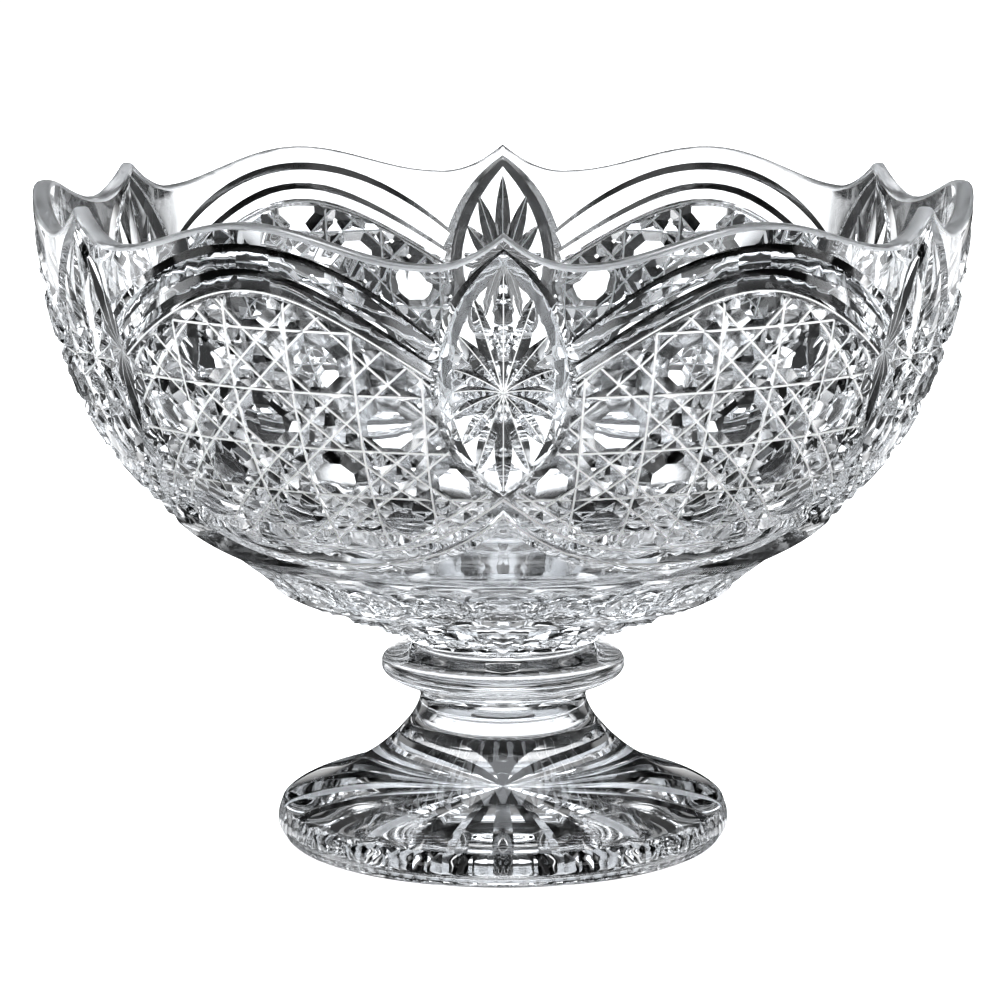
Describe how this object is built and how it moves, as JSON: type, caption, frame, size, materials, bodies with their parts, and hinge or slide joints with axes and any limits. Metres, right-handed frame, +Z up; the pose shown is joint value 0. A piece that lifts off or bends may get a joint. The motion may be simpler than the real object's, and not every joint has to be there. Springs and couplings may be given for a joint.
{
  "type": "footed punch bowl",
  "caption": "Deep round cut-crystal punch bowl with a looped and peaked rim, on a ringed stem and a round spreading foot.",
  "frame": {"origin": "centre of the face the foot rests on", "axes": "+Z up along the axis of the bowl, -Y towards one of the pointed rim peaks, +X towards the middle of a rim lobe"},
  "size_m": [0.3556, 0.3554, 0.2538],
  "materials": {
    "crystal_bowl": "polished cut lead crystal",
    "crystal_ring": "polished lead crystal",
    "crystal_foot": "polished cut lead crystal",
    "clear_adhesive": "clear UV-cured acrylic adhesive"
  },
  "bodies": {
    "root": {"bowl": "crystal_bowl", "bowl_bond": "clear_adhesive", "ring_knop": "crystal_ring", "foot_bond": "clear_adhesive", "foot": "crystal_foot"}
  },
  "joints": []
}
